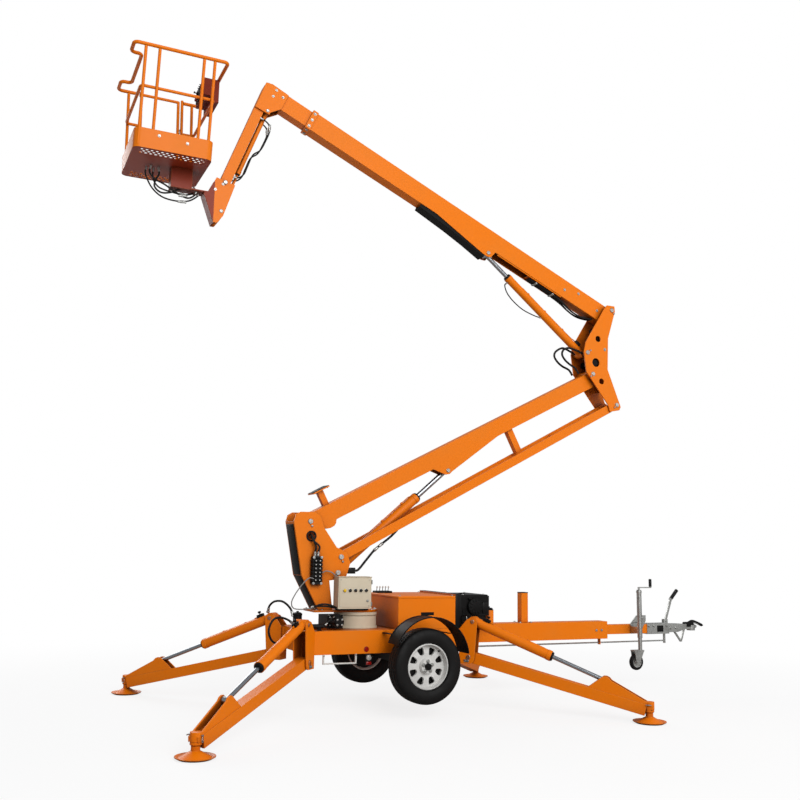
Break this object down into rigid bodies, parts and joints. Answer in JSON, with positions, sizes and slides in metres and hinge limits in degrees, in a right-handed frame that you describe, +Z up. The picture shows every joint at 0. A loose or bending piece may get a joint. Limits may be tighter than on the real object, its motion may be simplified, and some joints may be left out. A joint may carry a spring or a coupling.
{
  "type": "towable articulated boom lift",
  "caption": "Towable articulated boom lift standing on its outriggers with the two-stage boom raised and a one-person basket at the end of a gooseneck.",
  "frame": {"origin": "on the ground, on the slewing axis of the turret", "axes": "+X forward to the tow coupling, +Y to the left side of the machine, +Z up"},
  "size_m": [6.9168, 3.5006, 6.1716],
  "materials": {
    "orange_paint": "gloss",
    "dark_orange_paint": "satin",
    "zinc_plate": "satin",
    "rod_chrome": "polished",
    "wheel_silver": "satin",
    "tyre_rubber": "matte",
    "black_paint": "satin",
    "black_plastic": "matte",
    "beige_paint": "satin",
    "lamp_white": "satin"
  },
  "bodies": {
    "chassis": {"chassis_frame": "orange_paint", "drawbar": "orange_paint", "drawbar_tube": "orange_paint", "coupling": "zinc_plate", "handbrake_lever": "black_paint", "travel_post": "orange_paint", "axle": "black_paint", "mudguards": "black_plastic", "power_pack": "orange_paint", "engine": "black_paint", "slew_base": "beige_paint", "lamp_frame": "lamp_white", "brake_rod": "zinc_plate", "jockey_clamp": "zinc_plate", "slew_motor": "black_paint"},
    "wheel_left": {"tyre_left": "tyre_rubber", "rim_left": "wheel_silver"},
    "wheel_right": {"tyre_right": "tyre_rubber", "rim_right": "wheel_silver"},
    "jockey_leg": {"jockey_leg": "zinc_plate"},
    "jockey_fork": {"jockey_fork": "zinc_plate"},
    "jockey_wheel": {"jockey_wheel": "tyre_rubber"},
    "turret": {"turret_column": "orange_paint", "control_box": "beige_paint", "valve_block": "black_paint"},
    "lower_boom": {"lower_boom": "orange_paint"},
    "lower_link": {"lower_link": "orange_paint"},
    "lower_lift_barrel": {"lower_lift_barrel": "orange_paint"},
    "lower_lift_rod": {"lower_lift_rod": "rod_chrome"},
    "knuckle": {"knuckle": "orange_paint"},
    "upper_boom": {"upper_boom": "orange_paint", "hose_tray": "black_plastic"},
    "upper_lift_barrel": {"upper_lift_barrel": "orange_paint"},
    "upper_lift_rod": {"upper_lift_rod": "rod_chrome"},
    "inner_boom": {"inner_boom": "orange_paint", "gooseneck": "orange_paint"},
    "level_barrel": {"level_barrel": "orange_paint"},
    "level_rod": {"level_rod": "rod_chrome"},
    "basket": {"basket_bracket": "orange_paint", "basket_frame": "orange_paint", "basket_rail": "orange_paint", "basket_floor": "dark_orange_paint", "basket_panel": "dark_orange_paint"},
    "basket_gate": {"basket_gate": "orange_paint"},
    "outrigger_leg_rear_left": {"outrigger_leg_rear_left": "orange_paint", "outrigger_foot_rear_left": "zinc_plate"},
    "outrigger_barrel_rear_left": {"outrigger_barrel_rear_left": "orange_paint"},
    "outrigger_rod_rear_left": {"outrigger_rod_rear_left": "rod_chrome"},
    "outrigger_leg_rear_right": {"outrigger_leg_rear_right": "orange_paint", "outrigger_foot_rear_right": "zinc_plate"},
    "outrigger_barrel_rear_right": {"outrigger_barrel_rear_right": "orange_paint"},
    "outrigger_rod_rear_right": {"outrigger_rod_rear_right": "rod_chrome"},
    "outrigger_leg_front_left": {"outrigger_leg_front_left": "orange_paint", "outrigger_foot_front_left": "zinc_plate"},
    "outrigger_barrel_front_left": {"outrigger_barrel_front_left": "orange_paint"},
    "outrigger_rod_front_left": {"outrigger_rod_front_left": "rod_chrome"},
    "outrigger_leg_front_right": {"outrigger_leg_front_right": "orange_paint", "outrigger_foot_front_right": "zinc_plate"},
    "outrigger_barrel_front_right": {"outrigger_barrel_front_right": "orange_paint"},
    "outrigger_rod_front_right": {"outrigger_rod_front_right": "rod_chrome"}
  },
  "joints": [
    {"name": "slew", "type": "hinge", "parent": "chassis", "child": "turret", "pos_m": [0, 0, 0.87], "axis": [0, 0, -1], "range_deg": [0, 100]},
    {"name": "lower_boom_lift", "type": "hinge", "parent": "turret", "child": "lower_boom", "pos_m": [-0.537, 0, 1.77], "axis": [0, -1, 0], "range_deg": [-34.3, 30.2]},
    {"name": "lower_link_swing", "type": "hinge", "parent": "turret", "child": "lower_link", "pos_m": [-0.213, 0, 1.438], "axis": [0, -1, 0], "range_deg": [-34.3, 30.2]},
    {"name": "knuckle_levelling", "type": "hinge", "parent": "lower_boom", "child": "knuckle", "pos_m": [2.79522, 0, 3.52688], "axis": [0, -1, 0], "range_deg": [-30.2, 34.3]},
    {"name": "lower_cylinder_swing", "type": "hinge", "parent": "turret", "child": "lower_lift_barrel", "pos_m": [-0.242, 0, 1.288], "axis": [0, -1, 0], "range_deg": [-32.82, 28.89]},
    {"name": "lower_cylinder_stroke", "type": "slide", "parent": "lower_lift_barrel", "child": "lower_lift_rod", "axis": [0.7576, 0, 0.6527], "range_m": [-0.32035, 0.28206]},
    {"name": "upper_boom_lift", "type": "hinge", "parent": "knuckle", "child": "upper_boom", "pos_m": [3.07522, 0, 4.30488], "axis": [0, 1, 0], "range_deg": [-23.3, 46.2]},
    {"name": "upper_cylinder_swing", "type": "hinge", "parent": "knuckle", "child": "upper_lift_barrel", "pos_m": [2.72522, 0, 3.76988], "axis": [0, 1, 0], "range_deg": [-20.89, 41.42]},
    {"name": "upper_cylinder_stroke", "type": "slide", "parent": "upper_lift_barrel", "child": "upper_lift_rod", "axis": [-0.7854, 0, 0.619], "range_m": [-0.25862, 0.51279]},
    {"name": "boom_extension", "type": "slide", "parent": "upper_boom", "child": "inner_boom", "axis": [-0.915, 0, 0.4035], "range_m": [0, 1.5]},
    {"name": "basket_levelling", "type": "hinge", "parent": "inner_boom", "child": "basket", "pos_m": [-1.50585, 0, 5.02515], "axis": [0, -1, 0], "range_deg": [-23.3, 46.2]},
    {"name": "level_cylinder_swing", "type": "hinge", "parent": "inner_boom", "child": "level_barrel", "pos_m": [-1.11284, 0, 5.86131], "axis": [0, -1, 0], "range_deg": [-5.17, 10.26]},
    {"name": "level_cylinder_stroke", "type": "slide", "parent": "level_barrel", "child": "level_rod", "axis": [-0.3476, 0, -0.9376], "range_m": [-0.09444, 0.04763]},
    {"name": "basket_gate_swing", "type": "hinge", "parent": "basket", "child": "basket_gate", "pos_m": [-2.26985, 0.44924, 5.65978], "axis": [0, -0.1489, -0.9889], "range_deg": [0, 80]},
    {"name": "outrigger_lift_rear_left", "type": "hinge", "parent": "chassis", "child": "outrigger_leg_rear_left", "pos_m": [-0.67, 0.42, 0.5], "axis": [-0.6984, -0.7157, 0], "range_deg": [-75, 3]},
    {"name": "outrigger_cylinder_swing_rear_left", "type": "hinge", "parent": "chassis", "child": "outrigger_barrel_rear_left", "pos_m": [-0.69863, 0.44794, 0.835], "axis": [-0.6984, -0.7157, 0], "range_deg": [-84, 3.36]},
    {"name": "outrigger_cylinder_stroke_rear_left", "type": "slide", "parent": "outrigger_barrel_rear_left", "child": "outrigger_rod_rear_left", "axis": [-0.6679, 0.6518, -0.3593], "range_m": [-0.43611, 0.01744]},
    {"name": "outrigger_lift_rear_right", "type": "hinge", "parent": "chassis", "child": "outrigger_leg_rear_right", "pos_m": [-0.67, -0.42, 0.5], "axis": [0.6984, -0.7157, 0], "range_deg": [-75, 3]},
    {"name": "outrigger_cylinder_swing_rear_right", "type": "hinge", "parent": "chassis", "child": "outrigger_barrel_rear_right", "pos_m": [-0.69863, -0.44794, 0.835], "axis": [0.6984, -0.7157, 0], "range_deg": [-84, 3.36]},
    {"name": "outrigger_cylinder_stroke_rear_right", "type": "slide", "parent": "outrigger_barrel_rear_right", "child": "outrigger_rod_rear_right", "axis": [-0.6679, -0.6518, -0.3593], "range_m": [-0.43611, 0.01744]},
    {"name": "outrigger_lift_front_left", "type": "hinge", "parent": "chassis", "child": "outrigger_leg_front_left", "pos_m": [1.05, 0.42, 0.5], "axis": [-0.6984, 0.7157, 0], "range_deg": [-75, 3]},
    {"name": "outrigger_cylinder_swing_front_left", "type": "hinge", "parent": "chassis", "child": "outrigger_barrel_front_left", "pos_m": [1.07863, 0.44794, 0.835], "axis": [-0.6984, 0.7157, 0], "range_deg": [-84, 3.36]},
    {"name": "outrigger_cylinder_stroke_front_left", "type": "slide", "parent": "outrigger_barrel_front_left", "child": "outrigger_rod_front_left", "axis": [0.6679, 0.6518, -0.3593], "range_m": [-0.43611, 0.01744]},
    {"name": "outrigger_lift_front_right", "type": "hinge", "parent": "chassis", "child": "outrigger_leg_front_right", "pos_m": [1.05, -0.42, 0.5], "axis": [0.6984, 0.7157, 0], "range_deg": [-75, 3]},
    {"name": "outrigger_cylinder_swing_front_right", "type": "hinge", "parent": "chassis", "child": "outrigger_barrel_front_right", "pos_m": [1.07863, -0.44794, 0.835], "axis": [0.6984, 0.7157, 0], "range_deg": [-84, 3.36]},
    {"name": "outrigger_cylinder_stroke_front_right", "type": "slide", "parent": "outrigger_barrel_front_right", "child": "outrigger_rod_front_right", "axis": [0.6679, -0.6518, -0.3593], "range_m": [-0.43611, 0.01744]},
    {"name": "wheel_turn_left", "type": "hinge", "parent": "chassis", "child": "wheel_left", "pos_m": [0.4, 0.736, 0.47], "axis": [0, 1, 0], "continuous": true},
    {"name": "wheel_turn_right", "type": "hinge", "parent": "chassis", "child": "wheel_right", "pos_m": [0.4, -0.736, 0.47], "axis": [0, 1, 0], "continuous": true},
    {"name": "jockey_lift", "type": "slide", "parent": "chassis", "child": "jockey_leg", "axis": [0, 0, -1], "range_m": [-0.09, 0.234]},
    {"name": "jockey_swivel", "type": "hinge", "parent": "jockey_leg", "child": "jockey_fork", "pos_m": [3.332, -0.18, 0.469], "axis": [0, 0, 1], "continuous": true},
    {"name": "jockey_wheel_turn", "type": "hinge", "parent": "jockey_fork", "child": "jockey_wheel", "pos_m": [3.272, -0.18, 0.345], "axis": [0, 1, 0], "continuous": true}
  ],
  "couplings": [
    {"joint": "lower_link_swing", "follows": "lower_boom_lift", "ratio": 1},
    {"joint": "knuckle_levelling", "follows": "lower_boom_lift", "ratio": -1},
    {"joint": "lower_cylinder_swing", "follows": "lower_boom_lift", "ratio": 0.95678},
    {"joint": "lower_cylinder_stroke", "follows": "lower_boom_lift", "m_per_rad": 0.53513},
    {"joint": "upper_cylinder_swing", "follows": "upper_boom_lift", "ratio": 0.89661},
    {"joint": "upper_cylinder_stroke", "follows": "upper_boom_lift", "m_per_rad": 0.63595},
    {"joint": "basket_levelling", "follows": "upper_boom_lift", "ratio": 1},
    {"joint": "level_cylinder_swing", "follows": "upper_boom_lift", "ratio": 0.22209},
    {"joint": "level_cylinder_stroke", "follows": "upper_boom_lift", "m_per_rad": -0.11713},
    {"joint": "outrigger_cylinder_swing_rear_left", "follows": "outrigger_lift_rear_left", "ratio": 1.12},
    {"joint": "outrigger_cylinder_stroke_rear_left", "follows": "outrigger_lift_rear_left", "m_per_rad": 0.33316},
    {"joint": "outrigger_cylinder_swing_rear_right", "follows": "outrigger_lift_rear_right", "ratio": 1.12},
    {"joint": "outrigger_cylinder_stroke_rear_right", "follows": "outrigger_lift_rear_right", "m_per_rad": 0.33316},
    {"joint": "outrigger_cylinder_swing_front_left", "follows": "outrigger_lift_front_left", "ratio": 1.12},
    {"joint": "outrigger_cylinder_stroke_front_left", "follows": "outrigger_lift_front_left", "m_per_rad": 0.33316},
    {"joint": "outrigger_cylinder_swing_front_right", "follows": "outrigger_lift_front_right", "ratio": 1.12},
    {"joint": "outrigger_cylinder_stroke_front_right", "follows": "outrigger_lift_front_right", "m_per_rad": 0.33316}
  ]
}
